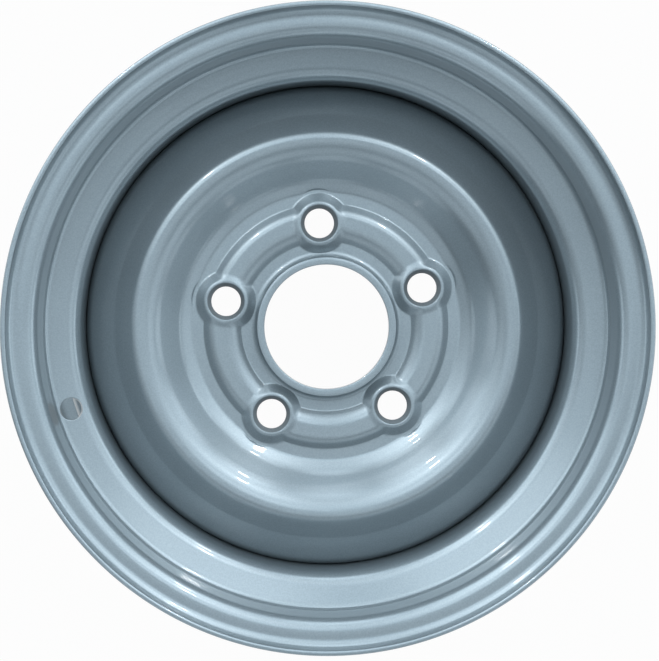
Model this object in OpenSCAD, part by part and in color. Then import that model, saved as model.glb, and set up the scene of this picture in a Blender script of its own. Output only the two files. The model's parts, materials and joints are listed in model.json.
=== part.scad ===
// Steel trailer wheel: a rolled drop-centre rim, a pressed disc and the weld beads that join them.
// The origin is the wheel's centre, on the axle line and midway between the two flanges.
// +Z points outboard, to the side that shows on the vehicle.

/* [Rim] */
// Diameter of the bead seats where they meet the flanges
bead_seat_d = 304; // [296:0.5:312]
// Width between the two flanges
rim_width = 139.7; // [127:0.1:152.4]
// Sheet thickness of the rim
rim_t = 2.75; // [2.2:0.05:3.4]
// Height of the flanges above the bead seats
flange_h = 14.2; // [13:0.1:18]
// Radius of the rolled flange on the tyre side
flange_r = 7.5; // [6:0.1:9.5]
// Reach of the rolled flange beyond its inner face
flange_reach = 9.75; // [9.6:0.05:12]
// Fillet between flange and bead seat on the tyre side
seat_fillet_r = 4; // [2:0.1:6.5]
// Slope of the bead seats in degrees
seat_taper = 5; // [3:0.5:7]
// Distance of the hump crests from the flanges
hump_pos = 21; // [19.5:0.1:23]
// Height of the humps above the bead seats
hump_h = 1.3; // [0.8:0.05:1.8]
// Fall of the hump towards the bead seat in degrees
hump_fall = 12; // [9:0.5:16]
// Radius of the hump crest on the tyre side
hump_r = 6.5; // [5:0.1:9]
// Radius at the foot of the hump
hump_foot_r = 8; // [4:0.5:10]
// Depth of the well below the bead seats
well_depth = 18.75; // [17.8:0.05:22]
// Largest radius between the well floor and its walls on the tyre side
well_r = 5; // [3.5:0.1:8]
// Lean of the well walls from upright in degrees
wall_lean = 13; // [11:0.5:18]

/* [Valve] */
// Diameter of the valve hole
valve_d = 11.6; // [8:0.1:13]
// Place of the valve hole round the rim in degrees
valve_angle = 197.5; // [0:0.1:360]

/* [Disc] */
// Distance of the mounting face outboard of the rim's middle
offset_et = 10; // [0:0.5:20]
// Sheet thickness of the disc
disc_t = 5; // [4:0.1:6]
// Diameter of the centre bore
bore_d = 67; // [57:0.1:71]
// Wall of the neck round the centre bore
neck_t = 4; // [3:0.1:4.8]
// Height of the neck's end above the mounting face
neck_h = 14; // [11:0.1:18]
// Fillet between neck and valley
neck_fillet_r = 3.5; // [2:0.1:4.5]
// Radius of the bore's rear edge
bore_round_r = 8.5; // [5:0.1:9]
// Rise of the bolt ring above the flat of the disc
ring_rise = 3.2; // [2:0.1:3.6]
// Width of the bolt ring's flat top
ring_top_w = 10.9; // [9:0.1:12]
// Distance of the ring's middle outside the bolt circle
ring_shift = 0.75; // [0:0.05:1.5]
// Width of the ring's inner slope
ring_inner_run = 5.3; // [4.5:0.1:6.5]
// Width of the ring's outer slope
ring_outer_run = 4.4; // [4:0.1:6]
// Inside bend radius of the ring's inner shoulder
ring_inner_bend_r = 8; // [2:0.1:9]
// Inside bend radius of the ring's outer shoulder
ring_outer_bend_r = 2.5; // [1.5:0.1:3.5]
// Fillet at the ring's feet
ring_foot_r = 1.5; // [0.5:0.1:3]
// Width of the flat between the ring and the ramp
flat_w = 6.2; // [4.5:0.1:8]
// Width of the gentle ramp between the flat and the crown's slope
ramp_w = 5.8; // [4.5:0.1:7]
// Rise of the ramp in degrees
ramp_angle = 24; // [16:1:30]
// Radius between the flat and the ramp
ramp_foot_r = 5; // [2:0.1:7]
// Radius between the ramp and the crown's slope
ramp_top_r = 10; // [4:0.1:12]
// Diameter where the crown's inner slope meets its top
crown_d = 189; // [182:0.1:196]
// Width of the crown's top
crown_w = 8.6; // [8:0.1:12]
// Rise of the crown above the flat
crown_rise = 17; // [13:0.1:20]
// Largest inside bend radius at the crown's inner edge
crown_inner_r = 11.4; // [3:0.1:12]
// Inside bend radius at the crown's outer edge
crown_outer_r = 1.4; // [0.8:0.1:3]
// Width of the steep fall outside the crown
fall_w = 11; // [9:0.1:13]
// Angle of the steep fall in degrees
fall_angle = 38; // [36:1:44]
// Radius between the steep fall and the shoulder
fall_foot_r = 12; // [6:0.1:16]
// Fall from the crown to the corner of the skirt
shoulder_drop = 18.85; // [17:0.1:24]
// Inside bend radius where the shoulder turns into the skirt
shoulder_r = 4; // [2:0.1:7]
// Depth of the skirt's rear edge below the mounting face
skirt_depth = 27; // [20:0.5:32]
// Clearance between the skirt, the rim and the weld beads
fit_gap = 0.05; // [0.02:0.01:0.3]

/* [Bolt holes] */
// Number of wheel bolts
bolt_count = 5; // [4:1:6]
// Diameter of the bolt circle
bolt_pcd = 112; // [108:0.5:120]
// Turn of the first bolt hole from the X axis in degrees
bolt_angle = 21.9; // [0:0.1:72]
// Diameter of the bolt holes
bolt_hole_d = 16; // [13:0.1:16.5]
// Diameter of the cone seats at the boss face
seat_d = 20.2; // [18:0.1:21.5]
// Full angle of the cone seats in degrees
seat_angle = 60; // [55:1:90]
// Foot diameter of the bosses round the bolt holes
boss_d = 32.8; // [31:0.1:35]
// Top diameter of the bosses
boss_top_d = 22.8; // [22:0.1:25]
// Rise of the bosses above the flat of the disc
boss_rise = 3.8; // [3.7:0.1:5]

/* [Weld beads] */
// Number of weld beads behind the disc
weld_count = 8; // [4:1:12]
// Length of each bead in degrees
weld_arc = 24; // [10:1:28]
// Leg of the bead's section
weld_leg = 4.5; // [3:0.1:5]

/* [Hidden] */
$fn = 144;

// Largest step of a bend, in degrees
arc_step = 12;
// Reach of a cutter past the face that it opens
cut_over = 1;
steel_grey = [0.56, 0.63, 0.67];
weld_grey = [0.5, 0.56, 0.6];

// Rim radii and half widths, on the tyre side
half_w = rim_width / 2;
seat_r = bead_seat_d / 2;
flange_top_r = seat_r + flange_h;
floor_r = seat_r - well_depth;
well_inner_r = floor_r - rim_t;
hump_z = half_w - hump_pos;
hump_top_r = seat_r - hump_pos * tan(seat_taper) + hump_h;

// Rim corners, outboard half, from the well floor to the flange's edge
crest_turn = 90 + hump_fall - wall_lean;
crest_dir = (hump_fall + wall_lean - 90) / 2;
crest = [hump_top_r - hump_r, hump_z]
    + hump_r / cos(crest_turn / 2) * [cos(crest_dir), sin(crest_dir)];
well_corner = [floor_r, crest.y - (crest.x - floor_r) * tan(wall_lean)];
foot_z = (crest.x + crest.y * tan(hump_fall) - seat_r + half_w * tan(seat_taper))
    / (tan(hump_fall) + tan(seat_taper));
// The well's bend leaves room on the wall for the bend of the crest
wall_room = norm(crest - well_corner) - hump_r * tan(crest_turn / 2);
well_bend_r = min(well_r, wall_room / tan((90 - wall_lean) / 2));
rim_half = [
    well_corner,
    crest,
    [seat_r - (half_w - foot_z) * tan(seat_taper), foot_z],
    [seat_r, half_w],
    [flange_top_r, half_w],
    [flange_top_r, half_w + flange_reach]
];
rim_half_radii = [well_bend_r, hump_r, hump_foot_r, seat_fillet_r, flange_r];

// Middle of the straight stretch of the well wall, where the valve hole sits
wall_dir = [cos(wall_lean), sin(wall_lean)];
wall_low = well_corner + wall_dir * well_bend_r * tan((90 - wall_lean) / 2);
wall_high = crest - wall_dir * hump_r * tan(crest_turn / 2);
valve_pos = (wall_low + wall_high) / 2;

// Disc corners on the outboard face, from the neck's end to the skirt's rear edge
bore_r = bore_d / 2;
neck_r = bore_r + neck_t;
face_z = offset_et + disc_t;
ring_z = face_z + ring_rise;
crown_z = face_z + crown_rise;
neck_end_z = offset_et + neck_h;
ring_inner_r = bolt_pcd / 2 + ring_shift - ring_top_w / 2;
ring_outer_r = ring_inner_r + ring_top_w;
ring_foot_out_r = ring_outer_r + ring_outer_run;
ramp_start_r = ring_foot_out_r + flat_w;
ramp_end = [ramp_start_r + ramp_w, face_z + ramp_w * tan(ramp_angle)];
crown_inner_edge = crown_d / 2;
crown_outer_edge = crown_inner_edge + crown_w;
fall_end = [crown_outer_edge + fall_w, crown_z - fall_w * tan(fall_angle)];
skirt_r = well_inner_r - fit_gap;
skirt_end_z = offset_et - skirt_depth;
disc_line = [
    [neck_r, neck_end_z],
    [neck_r, face_z],
    [ring_inner_r - ring_inner_run, face_z],
    [ring_inner_r, ring_z],
    [ring_outer_r, ring_z],
    [ring_foot_out_r, face_z],
    [ramp_start_r, face_z],
    ramp_end,
    [crown_inner_edge, crown_z],
    [crown_outer_edge, crown_z],
    fall_end,
    [skirt_r, crown_z - shoulder_drop],
    [skirt_r, skirt_end_z]
];
// The crown's inner bend leaves room on its top for the outer bend
crown_slope = atan2(crown_z - ramp_end.y, crown_inner_edge - ramp_end.x);
outer_bend_r = crown_outer_r + disc_t;
top_room = crown_w - outer_bend_r * tan(fall_angle / 2);
inner_bend_r = min(crown_inner_r + disc_t, top_room / tan(crown_slope / 2));
disc_radii = [
    neck_fillet_r,
    ring_foot_r,
    ring_inner_bend_r + disc_t,
    ring_outer_bend_r + disc_t,
    ring_foot_r,
    ramp_foot_r,
    ramp_top_r,
    inner_bend_r,
    outer_bend_r,
    fall_foot_r,
    shoulder_r + disc_t
];

// Boss section: the outboard cone, and the parallel cone of the recess behind it
boss_z = face_z + boss_rise;
boss_foot_r = boss_d / 2;
boss_top_r = boss_top_d / 2;
boss_slope = atan2(boss_rise, boss_foot_r - boss_top_r);
recess_z = boss_z - disc_t;
recess_top_r = boss_top_r - disc_t * tan(boss_slope / 2);
seat_depth = (seat_d - bolt_hole_d) / 2 / tan(seat_angle / 2);

// Unit vector from a to b
function heading(a, b) = (b - a) / norm(b - a);
// Unit vector to the left of d
function left_of(d) = [-d.y, d.x];
// Vector d turned by an angle
function turned(d, angle) = [d.x * cos(angle) - d.y * sin(angle), d.x * sin(angle) + d.y * cos(angle)];
// Turn of the path a, b, c at b, positive to the left
function turn_at(a, b, c) =
    let (u = heading(a, b), w = heading(b, c))
    atan2(u.x * w.y - u.y * w.x, u * w);
// Points of the bend of radius r at corner b, on a line that runs `side` to the left of the path
function bend(a, b, c, r, side) =
    let (
        u = heading(a, b),
        turn = turn_at(a, b, c),
        from_centre = -sign(turn) * left_of(u),
        centre = b - u * r * tan(abs(turn) / 2) - from_centre * r,
        steps = ceil(abs(turn) / arc_step)
    )
    [for (i = [0 : steps]) centre + turned(from_centre, turn * i / steps) * (r - sign(turn) * side)];
// The path v with its corners bent to the given radii, moved `side` to the left
function bent_line(v, radii, side) =
    let (last = len(v) - 1)
    [
        v[0] + left_of(heading(v[0], v[1])) * side,
        for (i = [1 : last - 1]) each bend(v[i - 1], v[i], v[i + 1], radii[i - 1], side),
        v[last] + left_of(heading(v[last - 1], v[last])) * side
    ];
// List v without its first n values
function without(v, n) = [for (i = [n : len(v) - 1]) v[i]];
// List v from its end to its start
function backwards(v) = [for (i = [len(v) - 1 : -1 : 0]) v[i]];
// List of points mirrored to the inboard half
function inboard(v) = [for (p = backwards(v)) [p.x, -p.y]];

// Copies the children to each bolt hole
module at_bolts() {
    for (i = [0 : bolt_count - 1])
        rotate([0, 0, bolt_angle + i * 360 / bolt_count])
            translate([bolt_pcd / 2, 0, 0])
                children();
}

// The space under a bent line, down to a given height and in to a given radius
module under(line, low_z, inner_r) {
    rotate_extrude()
        polygon(concat(
            [[inner_r, line[0].y]],
            line,
            [[line[len(line) - 1].x, low_z], [inner_r, low_z]]
        ));
}

// Rim sheet: one section from flange to flange, turned round the axle line
module rim_sheet() {
    line = concat(inboard(rim_half), rim_half);
    radii = concat(backwards(rim_half_radii), rim_half_radii);
    rotate_extrude()
        polygon(concat(bent_line(line, radii, 0), backwards(bent_line(line, radii, rim_t))));
}

// Cutter for the valve hole, square to the outboard wall of the well
module valve_hole() {
    rotate([0, 0, valve_angle])
        translate([valve_pos.x, 0, valve_pos.y])
            rotate([0, -wall_lean, 0])
                cylinder(d = valve_d, h = 2 * (rim_t + valve_d / 4), center = true);
}

// One boss: a blunt cone that stands on the flat of the disc
module boss() {
    sunk = disc_t / 2;
    translate([0, 0, face_z - sunk])
        cylinder(r1 = boss_foot_r + sunk / tan(boss_slope), r2 = boss_top_r, h = sunk + boss_rise);
}

// Recess behind one boss, which leaves the sheet at its own thickness
module boss_recess() {
    low_z = offset_et - cut_over;
    translate([0, 0, low_z])
        cylinder(
            r1 = recess_top_r + (recess_z - low_z) / tan(boss_slope),
            r2 = recess_top_r,
            h = recess_z - low_z
        );
}

// Bolt hole with its cone seat
module bolt_hole() {
    seat_slope = tan(seat_angle / 2);
    translate([0, 0, recess_z - cut_over])
        cylinder(d = bolt_hole_d, h = disc_t + 2 * cut_over);
    translate([0, 0, boss_z - seat_depth])
        cylinder(d1 = bolt_hole_d, d2 = seat_d + 2 * cut_over * seat_slope, h = seat_depth + cut_over);
}

// Rolled rim with its valve hole
module rim() {
    color(steel_grey)
        difference() {
            rim_sheet();
            valve_hole();
        }
}

// Pressed disc: neck, bolt ring with bosses, crown and skirt, all of one sheet
module disc() {
    outer = bent_line(disc_line, disc_radii, 0);
    bore_end = [bore_r, neck_end_z + cut_over];
    bore_corner = [bore_r, offset_et];
    valley_start = [bore_r + bore_round_r, face_z];
    behind_neck = bend(bore_end, bore_corner, valley_start - [0, disc_t], bore_round_r, 0);
    behind_valley = bent_line(
        concat([valley_start], without(disc_line, 2)),
        without(disc_radii, 1),
        -disc_t
    );
    inner = concat([bore_end], behind_neck, without(behind_valley, 1));
    color(steel_grey)
        difference() {
            union() {
                under(outer, skirt_end_z, bore_r - disc_t);
                at_bolts() boss();
            }
            under(inner, skirt_end_z - cut_over, bore_r - 2 * disc_t);
            at_bolts() boss_recess();
            at_bolts() bolt_hole();
        }
}

// Weld beads in the corner between the skirt's rear edge and the well
module weld_beads() {
    corner = [well_inner_r - fit_gap, skirt_end_z - fit_gap];
    pitch = 360 / weld_count;
    color(weld_grey)
        for (i = [0 : weld_count - 1])
            rotate([0, 0, i * pitch])
                rotate_extrude(angle = weld_arc)
                    polygon([
                        corner,
                        for (a = [180 : arc_step : 270]) corner + weld_leg * [cos(a), sin(a)],
                        corner - [0, weld_leg]
                    ]);
}

rim();
disc();
weld_beads();
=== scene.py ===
"""Looks of the pressed steel trailer wheel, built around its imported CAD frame.

The rim, the disc and the weld beads are modelled again as fine meshes, so that the enamel shows
smooth reflections. Each one replaces its CAD node and keeps the node's sizes. Lengths are in
metres, and sections are drawn in (radius, height).
"""

from __future__ import annotations

import json
import logging
import math
from dataclasses import dataclass, field, replace
from enum import Enum
from typing import Any, Callable, Iterable

import bpy
import numpy as np
from mathutils import Matrix, Vector

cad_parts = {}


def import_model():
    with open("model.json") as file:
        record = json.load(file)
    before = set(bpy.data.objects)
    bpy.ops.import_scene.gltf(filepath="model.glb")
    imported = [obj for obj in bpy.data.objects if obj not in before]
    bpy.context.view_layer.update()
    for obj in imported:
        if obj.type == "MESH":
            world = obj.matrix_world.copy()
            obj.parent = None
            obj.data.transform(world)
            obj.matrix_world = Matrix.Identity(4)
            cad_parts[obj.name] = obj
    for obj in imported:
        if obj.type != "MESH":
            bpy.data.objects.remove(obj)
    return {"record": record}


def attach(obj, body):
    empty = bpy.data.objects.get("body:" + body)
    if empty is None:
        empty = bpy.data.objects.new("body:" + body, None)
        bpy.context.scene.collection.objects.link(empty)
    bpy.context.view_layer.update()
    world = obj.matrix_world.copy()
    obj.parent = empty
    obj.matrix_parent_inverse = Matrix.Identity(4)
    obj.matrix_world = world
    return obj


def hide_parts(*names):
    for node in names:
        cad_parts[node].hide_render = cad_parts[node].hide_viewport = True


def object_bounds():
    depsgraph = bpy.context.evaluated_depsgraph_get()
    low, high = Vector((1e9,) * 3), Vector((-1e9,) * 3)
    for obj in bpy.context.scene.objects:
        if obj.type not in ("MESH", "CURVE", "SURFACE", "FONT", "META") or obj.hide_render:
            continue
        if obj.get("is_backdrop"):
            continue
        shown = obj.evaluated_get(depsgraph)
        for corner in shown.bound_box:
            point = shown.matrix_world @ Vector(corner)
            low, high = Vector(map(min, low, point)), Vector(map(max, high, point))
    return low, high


MM = 0.001
ROOT_BODY = "root"
WHITE = (1.0, 1.0, 1.0, 1.0)

# The least turn in radians that counts as a bend
LEAST_TURN = 1e-6

# The largest turns between two points of an eased edge and of a hole's mouth, in degrees
EDGE_STEP = 30.0
MOUTH_STEP = 15.0

# Points of a turned piece that are nearer than this become one
MERGE_REACH = 0.001 * MM

# A distance beyond any place on the wheel
FAR_OFF = 1.0

# The middle of a noise's range
NOISE_MIDDLE = 0.5

Colour = tuple[float, float, float, float]
Mounts = dict[str, dict[str, Any]]
Spacing = Callable[[Vector], float]

log = logging.getLogger("wheel")


class Side(Enum):
    """The two faces of the pressed disc."""

    FRONT = "outboard"
    BACK = "inboard"


# Sheet-metal sections


def left_of(direction: Vector) -> Vector:
    """The unit vector to the left of a direction in the section's plane."""
    return Vector((-direction.y, direction.x))


def bend(
    before: Vector, corner: Vector, after: Vector, radius: float, side: float, step: float
) -> list[Vector]:
    """Rounds one corner of a path.

    Args:
        before: The path's point before the corner.
        corner: The corner.
        after: The path's point after the corner.
        radius: Radius of the bend on the path itself.
        side: Distance to the left of the path at which the bend runs.
        step: Largest turn between two points, in degrees.

    Returns:
        The points of the bend, from its first tangent point to its last.
    """
    into = (corner - before).normalized()
    out = (after - corner).normalized()
    turn = math.atan2(into.x * out.y - into.y * out.x, into.dot(out))
    if abs(turn) < LEAST_TURN:
        return [corner + left_of(into) * side]
    sign = math.copysign(1.0, turn)
    from_centre = left_of(into) * -sign
    centre = corner - into * (radius * math.tan(abs(turn) / 2)) - from_centre * radius
    count = max(2, math.ceil(abs(turn) / math.radians(step)))
    spoke = radius - sign * side
    turns = [turn * i / count for i in range(count + 1)]
    return [centre + Matrix.Rotation(part, 2) @ from_centre * spoke for part in turns]


@dataclass(frozen=True)
class SheetLine:
    """One face of a bent sheet, as corners in (radius, height) and the radii of its bends."""

    corners: tuple[Vector, ...]
    radii: tuple[float, ...]

    def points(self, side: float, step: float, longest: Spacing) -> list[Vector]:
        """Draws the line, or its parallel through the sheet.

        Args:
            side: Distance to the left of the line.
            step: Largest turn between two points of a bend, in degrees.
            longest: Gives the longest stretch between two points near a place.

        Returns:
            The line's points in order.
        """
        spots = self.corners
        drawn = [spots[0] + left_of((spots[1] - spots[0]).normalized()) * side]
        for before, corner, after, radius in zip(spots, spots[1:], spots[2:], self.radii):
            drawn += bend(before, corner, after, radius, side, step)
        drawn.append(spots[-1] + left_of((spots[-1] - spots[-2]).normalized()) * side)
        return filled(drawn, longest)


def filled(drawn: list[Vector], longest: Spacing) -> list[Vector]:
    """Puts points into the long stretches of a line.

    Args:
        drawn: The line's points.
        longest: Gives the longest stretch between two points near a place.

    Returns:
        The line with its added points.
    """
    full = [drawn[0]]
    for point in drawn[1:]:
        start = full[-1]
        count = max(1, math.ceil((point - start).length / longest((point + start) / 2)))
        full += [start.lerp(point, i / count) for i in range(1, count + 1)]
    return full


def closed_section(
    front: list[Vector], back: list[Vector], first: float, last: float
) -> list[Vector]:
    """Joins the two faces of a sheet into one closed section with eased ends.

    Args:
        front: Points of one face.
        back: Points of the other face, in the same order.
        first: Radius of the two corners at the line's start.
        last: Radius of the two corners at the line's end.

    Returns:
        The closed section's points.
    """
    ring = front + back[::-1]
    eases = {0: first, len(front) - 1: last, len(front): last, len(ring) - 1: first}
    section: list[Vector] = []
    for i, point in enumerate(ring):
        if i in eases:
            after = ring[(i + 1) % len(ring)]
            section += bend(ring[i - 1], point, after, eases[i], 0.0, EDGE_STEP)
        else:
            section.append(point)
    return section


# Modelling with Blender's operators


class Bench:
    """The modelling steps that the pieces share, each one with Blender's own operators."""

    @staticmethod
    def deselect() -> None:
        """Goes to object mode and selects nothing."""
        if bpy.context.object is not None and bpy.context.object.mode != "OBJECT":
            bpy.ops.object.mode_set(mode="OBJECT")
        bpy.ops.object.select_all(action="DESELECT")

    @staticmethod
    def pick(piece: bpy.types.Object) -> None:
        """Selects one piece alone and makes it active.

        Args:
            piece: The piece.
        """
        Bench.deselect()
        piece.select_set(True)
        bpy.context.view_layer.objects.active = piece

    @staticmethod
    def merge(piece: bpy.types.Object, reach: float) -> None:
        """Merges a piece's doubled points and turns its normals outwards.

        Args:
            piece: The piece.
            reach: Distance under which two points become one.
        """
        Bench.pick(piece)
        bpy.ops.object.mode_set(mode="EDIT")
        bpy.ops.mesh.select_all(action="SELECT")
        bpy.ops.mesh.remove_doubles(threshold=reach)
        bpy.ops.mesh.normals_make_consistent(inside=False)
        bpy.ops.object.mode_set(mode="OBJECT")

    @staticmethod
    def turned(
        name: str, section: list[Vector], steps: int, angle: float = math.tau
    ) -> bpy.types.Object:
        """Spins a closed section round the axle line.

        Args:
            name: Name of the new piece.
            section: The section's points in (radius, height).
            steps: Number of steps of the spin.
            angle: Angle of the spin in radians.

        Returns:
            The new piece, with its normals outwards.
        """
        Bench.deselect()
        bpy.ops.mesh.primitive_circle_add(vertices=len(section), radius=1.0)
        piece = bpy.context.active_object
        piece.name = name
        piece.data.name = name
        for vertex, point in zip(piece.data.vertices, section):
            vertex.co = (point.x, 0.0, point.y)
        bpy.ops.object.mode_set(mode="EDIT")
        bpy.ops.mesh.select_all(action="SELECT")
        bpy.ops.mesh.spin(steps=steps, angle=angle, center=(0, 0, 0), axis=(0, 0, 1))
        Bench.merge(piece, MERGE_REACH)
        return piece

    @staticmethod
    def subdivide(piece: bpy.types.Object, chosen: np.ndarray, cuts: int) -> None:
        """Subdivides the chosen faces of a piece.

        Args:
            piece: The piece.
            chosen: One flag for each face.
            cuts: Number of cuts across each edge.
        """
        Bench.pick(piece)
        bpy.ops.object.mode_set(mode="EDIT")
        bpy.ops.mesh.select_mode(type="FACE")
        bpy.ops.mesh.select_all(action="DESELECT")
        bpy.ops.object.mode_set(mode="OBJECT")
        piece.data.polygons.foreach_set("select", chosen)
        bpy.ops.object.mode_set(mode="EDIT")
        bpy.ops.mesh.subdivide(number_cuts=cuts)
        bpy.ops.object.mode_set(mode="OBJECT")

    @staticmethod
    def cut(piece: bpy.types.Object, cutters: Iterable[bpy.types.Object]) -> None:
        """Takes cutters out of a piece and removes them.

        Args:
            piece: The piece.
            cutters: The closed shapes to take out, one after another.
        """
        for cutter in cutters:
            Bench.pick(piece)
            boolean = piece.modifiers.new("cut", "BOOLEAN")
            boolean.operation = "DIFFERENCE"
            boolean.solver = "EXACT"
            boolean.object = cutter
            bpy.ops.object.modifier_apply(modifier=boolean.name)
            bpy.data.objects.remove(cutter, do_unlink=True)

    @staticmethod
    def copied(piece: bpy.types.Object, move: Matrix) -> bpy.types.Object:
        """Copies a piece with a mesh of its own.

        Args:
            piece: The piece.
            move: Where the copy's mesh goes from the piece's place.

        Returns:
            The copy.
        """
        copy = piece.copy()
        copy.data = piece.data.copy()
        copy.data.transform(move)
        bpy.context.collection.objects.link(copy)
        return copy

    @staticmethod
    def joined(name: str, parts: list[bpy.types.Object]) -> bpy.types.Object:
        """Joins parts into one piece.

        Args:
            name: Name of the whole piece.
            parts: The parts, which the piece takes up.

        Returns:
            The whole piece.
        """
        Bench.pick(parts[0])
        for part in parts:
            part.select_set(True)
        bpy.ops.object.join()
        whole = bpy.context.active_object
        whole.name = name
        whole.data.name = name
        return whole

    @staticmethod
    def smooth(piece: bpy.types.Object, angle: float) -> None:
        """Shades a piece smooth, apart from edges sharper than an angle in degrees."""
        Bench.pick(piece)
        bpy.ops.object.shade_smooth_by_angle(angle=math.radians(angle))

    @staticmethod
    def rows(items: Any, name: str) -> np.ndarray:
        """Reads a vector of each of a mesh's vertices or faces.

        Args:
            items: The vertices or the faces.
            name: The vector's name.

        Returns:
            One row for each of them.
        """
        flat = np.empty(len(items) * 3)
        items.foreach_get(name, flat)
        return flat.reshape(-1, 3)

    @staticmethod
    def move(piece: bpy.types.Object, places: np.ndarray) -> None:
        """Moves a piece's vertices to new places."""
        piece.data.vertices.foreach_set("co", places.ravel())
        piece.data.update()


def smooth_max(a: np.ndarray, b: np.ndarray, reach: np.ndarray | float) -> np.ndarray:
    """The larger of two heights, with a fillet where they are nearer than the reach."""
    share = np.maximum(reach - np.abs(a - b), 0.0) / reach
    return np.maximum(a, b) + share**2 * reach / 4


# Shader maths


@dataclass
class Value:
    """A number's socket that takes part in Python expressions, each operator as a Math node."""

    graph: Graph
    socket: bpy.types.NodeSocket

    def __add__(self, other: Value | float) -> Value:
        """Sum."""
        return self.graph.math("ADD", self, other)

    def __radd__(self, other: float) -> Value:
        """Sum with a number in front."""
        return self.graph.math("ADD", other, self)

    def __sub__(self, other: Value | float) -> Value:
        """Difference."""
        return self.graph.math("SUBTRACT", self, other)

    def __rsub__(self, other: float) -> Value:
        """Difference from a number."""
        return self.graph.math("SUBTRACT", other, self)

    def __mul__(self, other: Value | float) -> Value:
        """Product."""
        return self.graph.math("MULTIPLY", self, other)

    def __rmul__(self, other: float) -> Value:
        """Product with a number in front."""
        return self.graph.math("MULTIPLY", other, self)

    def largest(self, other: Value | float) -> Value:
        """The larger of two values."""
        return self.graph.math("MAXIMUM", self, other)

    def smallest(self, other: Value | float) -> Value:
        """The smaller of two values."""
        return self.graph.math("MINIMUM", self, other)


class Graph:
    """A node tree that is filled by Python calls."""

    def __init__(self, tree: bpy.types.NodeTree) -> None:
        """Empties the tree and keeps it.

        Args:
            tree: The node tree of a material or a world.
        """
        self.tree = tree
        tree.nodes.clear()

    def node(
        self, kind: str, settings: dict[str, Any] | None = None, **inputs: Any
    ) -> bpy.types.Node:
        """Adds one node.

        Args:
            kind: The node's type.
            settings: Its settings, which are set first.
            **inputs: Values or links of its sockets, named as the sockets are, with _ for a space.

        Returns:
            The new node.
        """
        made = self.tree.nodes.new(kind)
        for name, setting in (settings or {}).items():
            setattr(made, name, setting)
        for name, given in inputs.items():
            self.feed(made.inputs[name.replace("_", " ")], given)
        return made

    def feed(self, socket: bpy.types.NodeSocket, given: Any) -> None:
        """Fills one socket.

        Args:
            socket: The socket.
            given: A value or another socket to link it to, or its own number or colour.
        """
        if isinstance(given, Value):
            given = given.socket
        if isinstance(given, bpy.types.NodeSocket):
            self.tree.links.new(given, socket)
        else:
            socket.default_value = given

    def value(self, node: bpy.types.Node, output: str) -> Value:
        """Wraps a node's output for use in expressions."""
        return Value(self, node.outputs[output])

    def pair(self, kind: str, operation: str, a: Any, b: Any) -> Value:
        """Adds a node that makes one number of two inputs.

        Args:
            kind: The node's type.
            operation: Its operation.
            a: The first input.
            b: The second input.

        Returns:
            The number.
        """
        made = self.node(kind, {"operation": operation})
        self.feed(made.inputs[0], a)
        self.feed(made.inputs[1], b)
        return self.value(made, "Value")

    def math(self, operation: str, a: Value | float, b: Value | float) -> Value:
        """Adds a Math node on two values."""
        return self.pair("ShaderNodeMath", operation, a, b)

    def mix(
        self, share: Value | float, a: Any, b: Any, blend: str = "MIX"
    ) -> bpy.types.NodeSocket:
        """Mixes two colours.

        Args:
            share: How much of the second colour there is.
            a: The first colour.
            b: The second colour.
            blend: The way of mixing.

        Returns:
            The mixed colour's socket.
        """
        made = self.node("ShaderNodeMix", {"data_type": "RGBA", "blend_type": blend})
        self.feed(made.inputs["Factor"], share)
        colours = [socket for socket in made.inputs if socket.type == "RGBA"]
        for socket, given in zip(colours, (a, b)):
            self.feed(socket, given)
        return next(socket for socket in made.outputs if socket.type == "RGBA")

    def noise(self, place: bpy.types.NodeSocket, scale: float, detail: float) -> Value:
        """Adds a noise over the piece.

        Args:
            place: The place on the piece.
            scale: The noise's scale.
            detail: Number of its finer layers.

        Returns:
            The noise's value.
        """
        made = self.node("ShaderNodeTexNoise", Vector=place, Scale=scale, Detail=detail)
        return self.value(made, "Fac")

    def ramp(self, given: Value, start: float, stop: float) -> Value:
        """Adds a soft ramp.

        Args:
            given: The value that the ramp reads.
            start: Where the ramp is 0.
            stop: Where the ramp is 1.

        Returns:
            The ramp's value.
        """
        made = self.node(
            "ShaderNodeMapRange",
            {"interpolation_type": "SMOOTHSTEP"},
            Value=given,
            From_Min=start,
            From_Max=stop,
        )
        return self.value(made, "Result")


# Finishes


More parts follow.
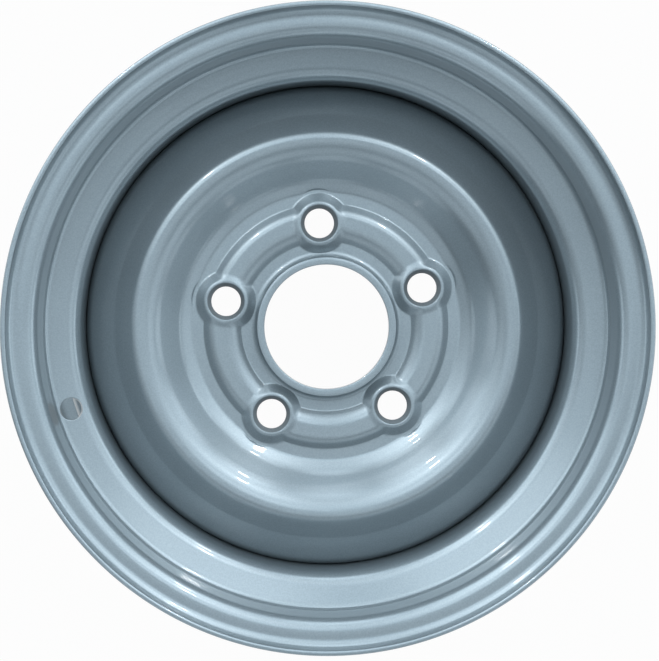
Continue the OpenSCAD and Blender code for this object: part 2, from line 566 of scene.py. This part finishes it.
@dataclass(frozen=True)
class Enamel:
    """Glossy silver wheel enamel: a metallic ground coat under a clear top coat.

    Clouds and flakes vary its tone, and peel is the fine waviness of the clear coat. In upright
    cylinders round the shaded seats it carries painted shade: a darker, matt colour without metal
    or coat, which stands in for the shade and dark reflections in the bolt holes' cone seats.
    """

    name: str
    light: Colour = (0.27, 0.31, 0.33, 1.0)
    dark: Colour = (0.235, 0.27, 0.29, 1.0)
    metallic: float = 0.72
    roughness: float = 0.37
    roughness_swing: float = 0.05
    coat: float = 0.8
    coat_roughness: float = 0.04
    cloud_scale: float = 28.0
    cloud_detail: float = 3.0
    cloud_swing: float = 0.8
    flake_scale: float = 1300.0
    flake_detail: float = 1.0
    flake_swing: float = 2.4
    peel_scale: float = 420.0
    peel_detail: float = 1.0
    peel_height: float = 0.002 * MM
    # Painted shade in the cone seats: their centres, reach, lowest height, fade, darkening and
    # matt roughness
    shaded_seats: tuple[Vector, ...] = ()
    shaded_seat_reach: float = 0.0
    shaded_seat_low: float = 0.0
    shaded_seat_fade: float = 0.4 * MM
    seat_shade_tone: float = 0.5
    seat_shade_roughness: float = 0.25

    def painted_seat_shade(self, graph: Graph, place: bpy.types.NodeSocket) -> Value | float:
        """Finds where the cone seats get painted shade.

        Args:
            graph: The material's nodes.
            place: The place on the piece.

        Returns:
            1 where the painted shade lies and 0 elsewhere.
        """
        if not self.shaded_seats:
            return 0.0
        parts = graph.node("ShaderNodeSeparateXYZ", Vector=place)
        plan = graph.node("ShaderNodeCombineXYZ", X=parts.outputs["X"], Y=parts.outputs["Y"])
        flat_place = plan.outputs["Vector"]
        nearest: Value | float = FAR_OFF
        for spot in self.shaded_seats:
            middle = (spot.x, spot.y, 0.0)
            away = graph.pair("ShaderNodeVectorMath", "DISTANCE", flat_place, middle)
            nearest = away.smallest(nearest)
        inside = graph.ramp(nearest, self.shaded_seat_reach, self.shaded_seat_reach - self.shaded_seat_fade)
        height = graph.value(parts, "Z")
        above = graph.ramp(height, self.shaded_seat_low, self.shaded_seat_low + self.shaded_seat_fade)
        return inside * above

    def material(self) -> bpy.types.Material:
        """Builds the finish as a node material.

        Returns:
            The material.
        """
        material = bpy.data.materials.new(self.name)
        material.use_nodes = True
        graph = Graph(material.node_tree)
        place = graph.node("ShaderNodeTexCoord").outputs["Object"]
        clouds = graph.noise(place, self.cloud_scale, self.cloud_detail) - NOISE_MIDDLE
        flakes = graph.noise(place, self.flake_scale, self.flake_detail) - NOISE_MIDDLE
        peel = graph.noise(place, self.peel_scale, self.peel_detail)
        tone = clouds * self.cloud_swing + flakes * self.flake_swing + NOISE_MIDDLE
        # Painted shade: the cone seats are darkened and lose their metal and coat, in place of
        # their shade
        seat_shade_share = self.painted_seat_shade(graph, place)
        seat_shade_colour = (self.seat_shade_tone, self.seat_shade_tone, self.seat_shade_tone, 1.0)
        colour = graph.mix(tone, self.dark, self.light)
        roughness = clouds * self.roughness_swing + self.roughness
        bump = graph.node(
            "ShaderNodeBump", Strength=1.0, Distance=self.peel_height, Height=peel
        )
        shader = graph.node(
            "ShaderNodeBsdfPrincipled",
            Base_Color=graph.mix(seat_shade_share, colour, seat_shade_colour, "MULTIPLY"),
            Metallic=(1.0 - seat_shade_share) * self.metallic,
            Roughness=roughness + seat_shade_share * self.seat_shade_roughness,
            Coat_Weight=(1.0 - seat_shade_share) * self.coat,
            Coat_Roughness=self.coat_roughness,
            Normal=bump.outputs["Normal"],
        )
        graph.node("ShaderNodeOutputMaterial", Surface=shader.outputs["BSDF"])
        return material

    def dress(self, piece: bpy.types.Object, slot: str) -> None:
        """Puts the finish on a piece.

        Args:
            piece: The piece.
            slot: The record's material slot that the finish stands for; not used.
        """
        piece.data.materials.clear()
        piece.data.materials.append(self.material())


# The wheel's pieces


@dataclass
class Rim:
    """The rolled drop-centre rim."""

    seat_r: float = 152.0 * MM
    width: float = 139.7 * MM
    sheet: float = 2.75 * MM
    flange_h: float = 14.2 * MM
    flange_r: float = 7.5 * MM
    flange_reach: float = 9.75 * MM
    seat_fillet_r: float = 4.0 * MM
    seat_taper: float = math.radians(5.0)
    hump_pos: float = 21.0 * MM
    hump_h: float = 1.3 * MM
    hump_fall: float = math.radians(12.0)
    hump_r: float = 6.5 * MM
    hump_foot_r: float = 8.0 * MM
    well_depth: float = 18.75 * MM
    well_r: float = 5.0 * MM
    wall_lean: float = math.radians(13.0)
    edge_ease: float = 1.0 * MM
    columns: int = 320
    bend_step: float = 8.0
    longest: float = 6.0 * MM
    smooth_angle: float = 35.0
    roll_step: float = 1.0 * MM
    roll_low: float = 26.0 * MM
    roll_pitch: float = 4.3 * MM
    roll_beat: float = 1.7
    roll_depth: float = 0.02 * MM
    valve_sides: int = 96
    valve_reach: float = 8.0 * MM
    valve_ease: float = 0.45 * MM

    @property
    def half(self) -> SheetLine:
        """Draws the tyre side of the outboard half.

        Returns:
            The line from the well to the flange's edge.
        """
        half_w = self.width / 2
        floor_r = self.seat_r - self.well_depth
        top_r = self.seat_r + self.flange_h
        crest_turn = math.pi / 2 + self.hump_fall - self.wall_lean
        crest_dir = (self.hump_fall + self.wall_lean - math.pi / 2) / 2
        crest_top = self.seat_r - self.hump_pos * math.tan(self.seat_taper) + self.hump_h
        spoke = self.hump_r / math.cos(crest_turn / 2)
        crest = Vector((crest_top - self.hump_r, half_w - self.hump_pos)) + spoke * Vector(
            (math.cos(crest_dir), math.sin(crest_dir))
        )
        fall, taper = math.tan(self.hump_fall), math.tan(self.seat_taper)
        foot_z = (crest.x + crest.y * fall - self.seat_r + half_w * taper) / (fall + taper)
        corners = (
            Vector((floor_r, crest.y - (crest.x - floor_r) * math.tan(self.wall_lean))),
            crest,
            Vector((self.seat_r - (half_w - foot_z) * taper, foot_z)),
            Vector((self.seat_r, half_w)),
            Vector((top_r, half_w)),
            Vector((top_r, half_w + self.flange_reach)),
        )
        radii = (self.well_r, self.hump_r, self.hump_foot_r, self.seat_fillet_r, self.flange_r)
        return SheetLine(corners, radii)

    def open_spacing(self, point: Vector) -> float:
        """The longest stretch on the open side, shorter where the rolled rings are."""
        return self.roll_step if point.y > self.roll_low else self.longest

    def section(self) -> list[Vector]:
        """Draws the closed section from flange to flange.

        Returns:
            The section's points.
        """
        half = self.half
        inboard = tuple(Vector((p.x, -p.y)) for p in reversed(half.corners))
        line = SheetLine(inboard + half.corners, tuple(reversed(half.radii)) + half.radii)
        tyre_side = line.points(0.0, self.bend_step, lambda _: self.longest)
        open_side = line.points(self.sheet, self.bend_step, self.open_spacing)
        return closed_section(tyre_side, self.rolled(open_side), self.edge_ease, self.edge_ease)

    def rolled(self, face: list[Vector]) -> list[Vector]:
        """Gives the outboard half of a face the faint rings that the rolls leave.

        Args:
            face: The points of the face in order.

        Returns:
            The face with its rings.
        """
        marked, run = [face[0]], 0.0
        for before, point, after in zip(face, face[1:], face[2:]):
            run += (point - before).length
            wave = math.sin(math.tau * run / self.roll_pitch)
            wave += math.sin(math.tau * run / (self.roll_beat * self.roll_pitch))
            depth = self.roll_depth * wave / 2 if point.y > self.roll_low else 0.0
            marked.append(point + left_of((after - before).normalized()) * depth)
        return marked + [face[-1]]

    def valve_cutter(self, valve: dict[str, Any]) -> bpy.types.Object:
        """Makes the cutter for the valve hole, with an eased mouth on the open side.

        Args:
            valve: The record's mount of the valve hole.

        Returns:
            The cutter.
        """
        radius, reach = valve["dims"]["r_mm"] * MM, self.valve_reach
        mouth = Vector((radius, self.sheet / 2))
        beyond = mouth + Vector((reach, 0.0))
        eased = bend(Vector((radius, 0.0)), mouth, beyond, self.valve_ease, 0.0, MOUTH_STEP)
        section = [Vector((0.0, -reach)), Vector((radius, -reach)), *eased]
        section += [eased[-1] + Vector((0.0, reach)), Vector((0.0, mouth.y + reach))]
        cutter = Bench.turned("valve_cutter", section, self.valve_sides)
        turn = Vector(valve["axis"]).to_track_quat("Z", "Y").to_matrix().to_4x4()
        cutter.data.transform(Matrix.Translation(valve["pos_m"]) @ turn)
        return cutter

    def build(self, mounts: Mounts) -> bpy.types.Object:
        """Models the rim.

        Args:
            mounts: The record's mounts by name.

        Returns:
            The finished piece.
        """
        piece = Bench.turned("rim_sheet", self.section(), self.columns)
        Bench.cut(piece, [self.valve_cutter(mounts["valve_hole"])])
        Bench.smooth(piece, self.smooth_angle)
        return piece


@dataclass
class Disc:
    """The pressed disc with its neck, bolt ring, bosses, crown and skirt."""

    sheet: float = 5.0 * MM
    offset: float = 10.0 * MM
    neck_t: float = 4.0 * MM
    neck_h: float = 14.0 * MM
    neck_fillet_r: float = 3.5 * MM
    bore_round_r: float = 8.5 * MM
    ring_rise: float = 3.2 * MM
    ring_top_w: float = 10.9 * MM
    ring_shift: float = 0.75 * MM
    ring_inner_run: float = 5.3 * MM
    ring_outer_run: float = 4.4 * MM
    ring_inner_bend_r: float = 8.0 * MM
    ring_outer_bend_r: float = 2.5 * MM
    ring_foot_r: float = 1.5 * MM
    flat_w: float = 6.2 * MM
    ramp_w: float = 5.8 * MM
    ramp_angle: float = math.radians(24.0)
    ramp_foot_r: float = 5.0 * MM
    ramp_top_r: float = 10.0 * MM
    crown_r: float = 94.5 * MM
    crown_w: float = 8.6 * MM
    crown_rise: float = 17.0 * MM
    crown_inner_r: float = 11.4 * MM
    crown_outer_r: float = 1.4 * MM
    fall_w: float = 11.0 * MM
    fall_angle: float = math.radians(38.0)
    fall_foot_r: float = 12.0 * MM
    shoulder_drop: float = 18.85 * MM
    shoulder_r: float = 4.0 * MM
    skirt_r: float = 130.45 * MM
    skirt_depth: float = 27.0 * MM
    bolt_angle: float = math.radians(21.9)
    boss_foot_r: float = 16.4 * MM
    boss_top_r: float = 11.4 * MM
    boss_rise: float = 3.8 * MM
    boss_round: float = 0.55 * MM
    boss_blend: float = 2.0 * MM
    boss_crease: float = 0.12 * MM
    neck_clear: float = 0.6 * MM
    land_r: float = 18.1 * MM
    land_slope: float = 1.2
    seat_r: float = 10.1 * MM
    seat_slope: float = math.radians(30.0)
    seat_ease: float = 0.5 * MM
    neck_ease: float = 0.4 * MM
    skirt_ease: float = 0.7 * MM
    columns: int = 220
    boss_cuts: int = 2
    bend_step: float = 7.0
    survey_step: float = 1.0
    fine: float = 1.2 * MM
    coarse: float = 3.0 * MM
    boss_zone: float = 20.0 * MM
    least_up: float = 0.2
    hole_sides: int = 72
    cutter_over: float = 2.0 * MM
    cutter_rise: float = 0.01 * MM
    smooth_angle: float = 32.0
    bore_r: float = 0.0
    bolt_circle_r: float = 0.0
    bolt_count: int = 0
    bolt_hole_r: float = 0.0

    def take_mounts(self, mounts: Mounts) -> None:
        """Reads the bore and the bolt circle from the record.

        Args:
            mounts: The record's mounts by name.
        """
        bolts = mounts["wheel_bolts"]["dims"]
        self.bore_r = mounts["centre_bore"]["dims"]["r_mm"] * MM
        self.bolt_circle_r = bolts["pcd_mm"] * MM / 2
        self.bolt_count = bolts["count"]
        self.bolt_hole_r = bolts["hole_r_mm"] * MM

    @property
    def face_z(self) -> float:
        """Height of the disc's flat, outboard side."""
        return self.offset + self.sheet

    @property
    def boss_z(self) -> float:
        """Height of the bosses' tops."""
        return self.face_z + self.boss_rise

    @property
    def ring_foot_r_out(self) -> float:
        """Distance of the bolt ring's outer foot from the axle line."""
        return self.bolt_circle_r + self.ring_shift + self.ring_top_w / 2 + self.ring_outer_run

    @property
    def line(self) -> SheetLine:
        """Draws the outboard side.

        Returns:
            The line from the neck's end to the skirt's rear edge.
        """
        neck_r = self.bore_r + self.neck_t
        ring_in = self.bolt_circle_r + self.ring_shift - self.ring_top_w / 2
        ring_out = ring_in + self.ring_top_w
        ramp_r = self.ring_foot_r_out + self.flat_w
        crown_z = self.face_z + self.crown_rise
        fall_r = self.crown_r + self.crown_w
        corners = (
            (neck_r, self.offset + self.neck_h),
            (neck_r, self.face_z),
            (ring_in - self.ring_inner_run, self.face_z),
            (ring_in, self.face_z + self.ring_rise),
            (ring_out, self.face_z + self.ring_rise),
            (self.ring_foot_r_out, self.face_z),
            (ramp_r, self.face_z),
            (ramp_r + self.ramp_w, self.face_z + self.ramp_w * math.tan(self.ramp_angle)),
            (self.crown_r, crown_z),
            (fall_r, crown_z),
            (fall_r + self.fall_w, crown_z - self.fall_w * math.tan(self.fall_angle)),
            (self.skirt_r, crown_z - self.shoulder_drop),
            (self.skirt_r, self.offset - self.skirt_depth),
        )
        radii = (
            self.neck_fillet_r,
            self.ring_foot_r,
            self.ring_inner_bend_r + self.sheet,
            self.ring_outer_bend_r + self.sheet,
            self.ring_foot_r,
            self.ramp_foot_r,
            self.ramp_top_r,
            self.crown_inner_r + self.sheet,
            self.crown_outer_r + self.sheet,
            self.fall_foot_r,
            self.shoulder_r + self.sheet,
        )
        return SheetLine(tuple(Vector(p) for p in corners), radii)

    def back(self, step: float, longest: Spacing) -> list[Vector]:
        """Draws the inboard side: the bore, its round rear edge and the sheet's parallel face.

        Args:
            step: Largest turn between two points of a bend, in degrees.
            longest: Gives the longest stretch between two points near a place.

        Returns:
            The line's points, from the neck's end to the skirt's rear edge.
        """
        line = self.line
        end = Vector((self.bore_r, self.offset + self.neck_h))
        start = Vector((self.bore_r + self.bore_round_r, self.face_z))
        corner = Vector((self.bore_r, self.offset))
        rounded = bend(end, corner, Vector((start.x, self.offset)), self.bore_round_r, 0.0, step)
        sheet = SheetLine((start,) + line.corners[2:], line.radii[1:])
        return filled([end] + rounded, longest) + sheet.points(-self.sheet, step, longest)[1:]

    @property
    def bolts(self) -> list[Vector]:
        """The bolt holes' centres in plan."""
        angles = [self.bolt_angle + i * math.tau / self.bolt_count for i in range(self.bolt_count)]
        return [self.bolt_circle_r * Vector((math.cos(a), math.sin(a))) for a in angles]

    def near_bosses(self, point: Vector) -> bool:
        """Whether a point of the section is as far from the axle line as the bosses are."""
        return abs(point.x - self.bolt_circle_r) < self.boss_zone

    def front_spacing(self, point: Vector) -> float:
        """The longest stretch on the outboard side near a place."""
        return self.fine if self.near_bosses(point) else self.coarse

    def back_spacing(self, point: Vector) -> float:
        """The longest stretch on the inboard side near a place."""
        return self.coarse / 2 if self.near_bosses(point) else self.coarse

    def section(self) -> list[Vector]:
        """Draws the closed section from the neck's end to the skirt's rear edge.

        Returns:
            The section's points.
        """
        front = self.line.points(0.0, self.bend_step, self.front_spacing)
        back = self.back(self.bend_step, self.back_spacing)
        return closed_section(front, back, self.neck_ease, self.skirt_ease)

    def heights(self, side: Side, radii: np.ndarray) -> np.ndarray:
        """Finds the heights of one face of the turned sheet.

        Args:
            side: The face.
            radii: Distances of the places from the axle line.

        Returns:
            The heights.
        """
        if side is Side.FRONT:
            points = self.line.points(0.0, self.survey_step, lambda _: self.fine)
        else:
            points = self.back(self.survey_step, lambda _: self.fine)
        rising = [points[0]]
        for point in points[1:]:
            if rising[-1].x < point.x < self.crown_r:
                rising.append(point)
        return np.interp(radii, [p.x for p in rising], [p.y for p in rising])

    def pressed(self, side: Side, radii: np.ndarray, away: np.ndarray) -> np.ndarray:
        """Heights of one face with its bosses, and on the front with the flat lands round them.

        Args:
            side: The face.
            radii: Distances of the places from the axle line.
            away: Their distances from the nearest bolt hole.

        Returns:
            The heights.
        """
        base = self.heights(side, radii)
        flat, foot, brow = self.face_z, self.boss_foot_r, self.boss_top_r
        if side is Side.FRONT:
            land = flat + np.maximum(away - self.land_r, 0.0) * self.land_slope
            base = np.where(radii > self.ring_foot_r_out, np.minimum(base, land), base)
        else:
            shrink = self.sheet * math.tan(math.atan2(self.boss_rise, foot - brow) / 2)
            flat, foot, brow = flat - self.sheet, foot - shrink, brow - shrink
        cone = flat + self.boss_rise * (foot - away) / (foot - brow)
        on_ring = np.clip((base - flat) / self.ring_rise, 0.0, 1.0)
        fillet = self.boss_crease + (self.boss_blend - self.boss_crease) * on_ring
        top = np.full_like(base, flat + self.boss_rise)
        return -smooth_max(-smooth_max(base, cone, fillet), -top, self.boss_round)

    def press_bosses(self, piece: bpy.types.Object) -> None:
        """Presses the bosses into both faces of the turned sheet.

        Args:
            piece: The turned disc.
        """
        centres = Bench.rows(piece.data.polygons, "center")
        normals = Bench.rows(piece.data.polygons, "normal")
        in_zone = self.to_nearest_bolt(centres) < self.boss_zone
        faces_up = normals[:, 2] > self.least_up
        on_front = faces_up & (centres[:, 2] > self.offset + self.sheet / 2)
        Bench.subdivide(piece, in_zone & on_front, self.boss_cuts)
        places = Bench.rows(piece.data.vertices, "co")
        away = self.to_nearest_bolt(places)
        radii = np.hypot(places[:, 0], places[:, 1])
        above = places[:, 2] > self.heights(Side.FRONT, radii) - self.sheet / 2
        past_neck = radii > self.bore_r + self.neck_t + self.neck_clear
        on_ring = past_neck & (away < self.boss_zone)
        for side, chosen in ((Side.FRONT, on_ring & above), (Side.BACK, on_ring & ~above)):
            places[chosen, 2] = self.pressed(side, radii[chosen], away[chosen])
        Bench.move(piece, places)

    def to_nearest_bolt(self, places: np.ndarray) -> np.ndarray:
        """Distances in plan from places to their nearest bolt hole's centre."""
        aways = [np.hypot(places[:, 0] - b.x, places[:, 1] - b.y) for b in self.bolts]
        return np.min(aways, axis=0)

    def bolt_cutters(self) -> list[bpy.types.Object]:
        """Makes the cutters of the bolt holes, each with its cone seat and an eased mouth.

        Returns:
            One cutter for each bolt hole.
        """
        over, low = self.cutter_over, self.offset
        seat_depth = (self.seat_r - self.bolt_hole_r) / math.tan(self.seat_slope)
        seat_low = Vector((self.bolt_hole_r, self.boss_z - seat_depth))
        mouth = Vector((self.seat_r, self.boss_z))
        beyond = mouth + Vector((over, 0.0))
        eased = bend(seat_low, mouth, beyond, self.seat_ease, 0.0, MOUTH_STEP)
        rise = Vector((0.0, self.cutter_rise))
        top_z = self.boss_z + over
        section = [Vector((0.0, low)), Vector((self.bolt_hole_r, low)), seat_low]
        section += [*eased[:-1], eased[-1] + rise]
        section += [Vector((eased[-1].x + over, top_z)), Vector((0.0, top_z))]
        pattern = Bench.turned("bolt_cutter", section, self.hole_sides)
        places = [Matrix.Translation((bolt.x, bolt.y, 0.0)) for bolt in self.bolts]
        cutters = [Bench.copied(pattern, place) for place in places]
        bpy.data.objects.remove(pattern, do_unlink=True)
        return cutters

    def build(self, mounts: Mounts) -> bpy.types.Object:
        """Models the disc.

        Args:
            mounts: The record's mounts by name.

        Returns:
            The finished piece.
        """
        self.take_mounts(mounts)
        piece = Bench.turned("disc_sheet", self.section(), self.columns)
        self.press_bosses(piece)
        Bench.cut(piece, self.bolt_cutters())
        Bench.smooth(piece, self.smooth_angle)
        return piece


@dataclass
class WeldBeads:
    """The weld beads in the corner between the skirt's rear edge and the well."""

    corner: Vector = field(default_factory=lambda: Vector((130.45 * MM, -17.05 * MM)))
    leg: float = 4.5 * MM
    count: int = 8
    arc: float = math.radians(24.0)
    ripple_pitch: float = 2.4 * MM
    ripple_depth: float = 0.07
    sides: int = 10
    steps: int = 132
    merge_reach: float = 0.01 * MM
    smooth_angle: float = 60.0

    def section(self) -> list[Vector]:
        """The bead's section: the corner and a bulging face."""
        angles = [math.pi + math.pi / 2 * i / self.sides for i in range(self.sides + 1)]
        rays = [Vector((math.cos(a), math.sin(a))) for a in angles]
        return [self.corner] + [self.corner + self.leg * ray for ray in rays]

    def swell(self, turns: np.ndarray) -> np.ndarray:
        """Gives a bead its round ends and ripples.

        Args:
            turns: Angles of the places from the bead's start.

        Returns:
            The share of the full section at each place.
        """
        along = np.clip(turns / self.arc, 0.0, 1.0)
        run = turns * self.corner.x
        to_end = np.minimum(along, 1 - along) * self.arc * self.corner.x
        blunt = np.clip(to_end / self.leg, 0.0, 1.0)
        ends = np.sqrt(np.clip(1 - (1 - blunt) ** 2, 0.0, 1.0))
        ripples = np.abs(np.sin(math.pi * run / self.ripple_pitch))
        return ends * (1 - self.ripple_depth * (1 - ripples))

    def build(self) -> bpy.types.Object:
        """Models one bead and copies it round the rim.

        Returns:
            The set of beads as one piece.
        """
        bead = Bench.turned("weld_bead", self.section(), self.steps, self.arc)
        places = Bench.rows(bead.data.vertices, "co")
        turns = np.abs(np.arctan2(places[:, 1], places[:, 0]))
        radii = np.hypot(places[:, 0], places[:, 1])
        swell = self.swell(turns)
        radii = self.corner.x + (radii - self.corner.x) * swell
        places[:, 0] = radii * np.cos(turns)
        places[:, 1] = radii * np.sin(turns)
        places[:, 2] = self.corner.y + (places[:, 2] - self.corner.y) * swell
        Bench.move(bead, places)
        Bench.merge(bead, self.merge_reach)
        angles = [math.tau * i / self.count for i in range(1, self.count)]
        copies = [Bench.copied(bead, Matrix.Rotation(angle, 4, "Z")) for angle in angles]
        piece = Bench.joined("weld_bead_set", [bead, *copies])
        Bench.smooth(piece, self.smooth_angle)
        return piece


# The studio


def direction(azimuth: float, polar: float) -> Vector:
    """Points away from the wheel's centre.

    Args:
        azimuth: Angle round the axle line from +X, in degrees.
        polar: Angle from the axle line, in degrees.

    Returns:
        The unit vector.
    """
    turn, tilt = math.radians(azimuth), math.radians(polar)
    return Vector(
        (math.sin(tilt) * math.cos(turn), math.sin(tilt) * math.sin(turn), math.cos(tilt))
    )


@dataclass(frozen=True)
class Lamp:
    """One soft lamp, placed by its direction from the wheel's centre."""

    name: str
    azimuth: float
    polar: float
    distance: float
    width: float
    height: float
    power: float

    def hang(self) -> None:
        """Adds the lamp to the scene, turned to the wheel's centre."""
        data = bpy.data.lights.new(self.name, "AREA")
        data.shape = "RECTANGLE"
        data.size = self.width
        data.size_y = self.height
        data.energy = self.power
        lamp = bpy.data.objects.new(self.name, data)
        bpy.context.collection.objects.link(lamp)
        towards = direction(self.azimuth, self.polar)
        lamp.location = towards * self.distance
        lamp.rotation_euler = towards.to_track_quat("Z", "Y").to_euler()


@dataclass(frozen=True)
class Glow:
    """One soft patch of the sky, placed by its direction."""

    azimuth: float
    polar: float
    reach: float
    strength: float


def glow_ring(polar: float, reach: float, strengths: dict[float, float]) -> tuple[Glow, ...]:
    """Soft patches at one height of the sky, from their strengths by azimuth."""
    return tuple(Glow(azimuth, polar, reach, strengths[azimuth]) for azimuth in strengths)


@dataclass
class Studio:
    """Camera, floor, lamps and surrounding light."""

    eye: Vector = field(default_factory=lambda: Vector((-0.0231, 0.0281, 0.960)))
    aim: Vector = field(default_factory=lambda: Vector((0.00168, -0.00216, 0.0175)))
    lens: float = 95.15
    sensor: float = 36.0
    floor_half: float = 6.0
    floor_glow: float = 0.97
    floor_colour: Colour = (0.3, 0.3, 0.3, 1.0)
    sky_colour: Colour = (0.86, 1.0, 1.1, 1.0)
    sky_strength: float = 0.02
    glows: tuple[Glow, ...] = (
        *glow_ring(14.0, 16.0, {150.0: 0.55, 210.0: 0.5, 270.0: 0.65, 330.0: 0.8}),
        *glow_ring(15.0, 9.0, {56.0: 3.2, 130.0: 3.2}),
        *glow_ring(30.0, 20.0, {10.0: 0.6, 50.0: 1.6, 90.0: 0.85, 130.0: 1.6, 210.0: 0.4}),
        *glow_ring(48.0, 22.0, {18.0: 1.05, 54.0: 1.5, 90.0: 0.8, 126.0: 1.6, 162.0: 1.1}),
        *glow_ring(48.0, 22.0, {198.0: 0.3, 234.0: 0.95, 270.0: 0.85, 306.0: 1.0, 342.0: 1.2}),
        *glow_ring(64.0, 18.0, {30.0: 1.2, 60.0: 1.2, 90.0: 1.2, 120.0: 1.2, 150.0: 1.2}),
        *glow_ring(78.0, 18.0, {0.0: 2.6, 30.0: 2.6, 60.0: 2.6, 90.0: 2.6, 120.0: 2.6}),
        *glow_ring(78.0, 18.0, {150.0: 2.6, 180.0: 2.0}),
        *glow_ring(78.0, 18.0, {240.0: 1.6, 270.0: 1.6, 300.0: 1.6, 330.0: 1.6}),
    )
    lamps: tuple[Lamp, ...] = (
        Lamp("key_left", 128.0, 41.0, 1.6, 0.07, 0.07, 2.2),
        Lamp("key_right", 58.0, 41.0, 1.6, 0.07, 0.07, 2.2),
        Lamp("low_left", 128.0, 66.0, 1.6, 0.1, 0.1, 1.4),
        Lamp("low_right", 58.0, 66.0, 1.6, 0.1, 0.1, 1.4),
    )

    def set_camera(self) -> None:
        """Adds the camera at the photograph's viewing angle, with +Y up in the picture."""
        data = bpy.data.cameras.new("camera")
        data.lens = self.lens
        data.sensor_width = self.sensor
        data.sensor_fit = "HORIZONTAL"
        camera = bpy.data.objects.new("camera", data)
        bpy.context.collection.objects.link(camera)
        back = (self.eye - self.aim).normalized()
        right = Vector((0.0, 1.0, 0.0)).cross(back).normalized()
        up = back.cross(right)
        turn = Matrix((right, up, back)).transposed()
        camera.matrix_world = Matrix.Translation(self.eye) @ turn.to_4x4()
        bpy.context.scene.camera = camera

    def lay_floor(self, height: float) -> None:
        """Lays the pale floor that the wheel lies on.

        Args:
            height: Height of the floor.
        """
        Bench.deselect()
        bpy.ops.mesh.primitive_plane_add(size=2 * self.floor_half, location=(0, 0, 0))
        floor = bpy.context.active_object
        floor.name = "floor"
        floor.data.transform(Matrix.Translation((0, 0, height)))
        material = bpy.data.materials.new("pale_floor")
        material.use_nodes = True
        graph = Graph(material.node_tree)
        path = graph.node("ShaderNodeLightPath")
        seen = graph.value(path, "Is Camera Ray").largest(graph.value(path, "Is Glossy Ray"))
        seen = seen.largest(graph.value(path, "Is Transmission Ray"))
        matt = graph.node("ShaderNodeBsdfDiffuse", Color=self.floor_colour)
        glow = graph.node("ShaderNodeEmission", Color=WHITE, Strength=1.0)
        mix = graph.node("ShaderNodeMixShader", Fac=seen * self.floor_glow)
        graph.feed(mix.inputs[1], matt.outputs["BSDF"])
        graph.feed(mix.inputs[2], glow.outputs["Emission"])
        graph.node("ShaderNodeOutputMaterial", Surface=mix.outputs["Shader"])
        floor.data.materials.append(material)
        floor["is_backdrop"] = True

    def set_world(self) -> None:
        """Sets the sky: an even ground light and soft patches over it."""
        world = bpy.data.worlds.new("studio")
        world.use_nodes = True
        graph = Graph(world.node_tree)
        looking = graph.node("ShaderNodeTexCoord").outputs["Generated"]
        light: Value | float = self.sky_strength
        for glow in self.glows:
            towards = direction(glow.azimuth, glow.polar)
            nearness = graph.pair("ShaderNodeVectorMath", "DOT_PRODUCT", looking, towards)
            edge = math.cos(math.radians(glow.reach))
            light = light + graph.ramp(nearness, edge, 1.0) * glow.strength
        sky = graph.node("ShaderNodeBackground", Color=self.sky_colour, Strength=light)
        graph.node("ShaderNodeOutputWorld", Surface=sky.outputs["Background"])
        bpy.context.scene.world = world

    def build(self, floor_z: float) -> None:
        """Sets up the studio round the wheel.

        Args:
            floor_z: Height of the floor.
        """
        bpy.context.scene.view_settings.view_transform = "Standard"
        self.set_camera()
        self.lay_floor(floor_z)
        self.set_world()
        for lamp in self.lamps:
            lamp.hang()


def stand_for(piece: bpy.types.Object, node: str) -> None:
    """Makes a piece ride on the wheel and stand for its CAD node.

    Args:
        piece: The piece.
        node: Name of the CAD node.
    """
    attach(piece, ROOT_BODY)
    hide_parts(node)
    log.info("%s: %d faces for node %s", piece.name, len(piece.data.polygons), node)


def main() -> None:
    """Builds the wheel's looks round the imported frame."""
    logging.basicConfig(level=logging.INFO, format="%(name)s %(message)s")
    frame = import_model()
    cad_low, cad_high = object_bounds()
    mounts = {mount["name"]: mount for mount in frame["record"]["mounts"]}
    paint = Enamel("silver_enamel")
    weld_paint = Enamel("weld_enamel", roughness=0.42, peel_scale=900.0)

    rim = Rim().build(mounts)
    stand_for(rim, "rim")
    paint.dress(rim, "rim_paint")

    pressing = Disc()
    disc = pressing.build(mounts)
    stand_for(disc, "disc")
    # The disc's enamel carries painted shade in the bolt holes' cone seats
    disc_paint = replace(
        paint,
        name="disc_enamel",
        shaded_seats=tuple(pressing.bolts),
        shaded_seat_reach=pressing.seat_r,
        shaded_seat_low=pressing.offset,
    )
    disc_paint.dress(disc, "disc_paint")

    beads = WeldBeads().build()
    stand_for(beads, "weld_beads")
    weld_paint.dress(beads, "weld_paint")

    Studio().build(cad_low.z)


if __name__ == "__main__":
    main()
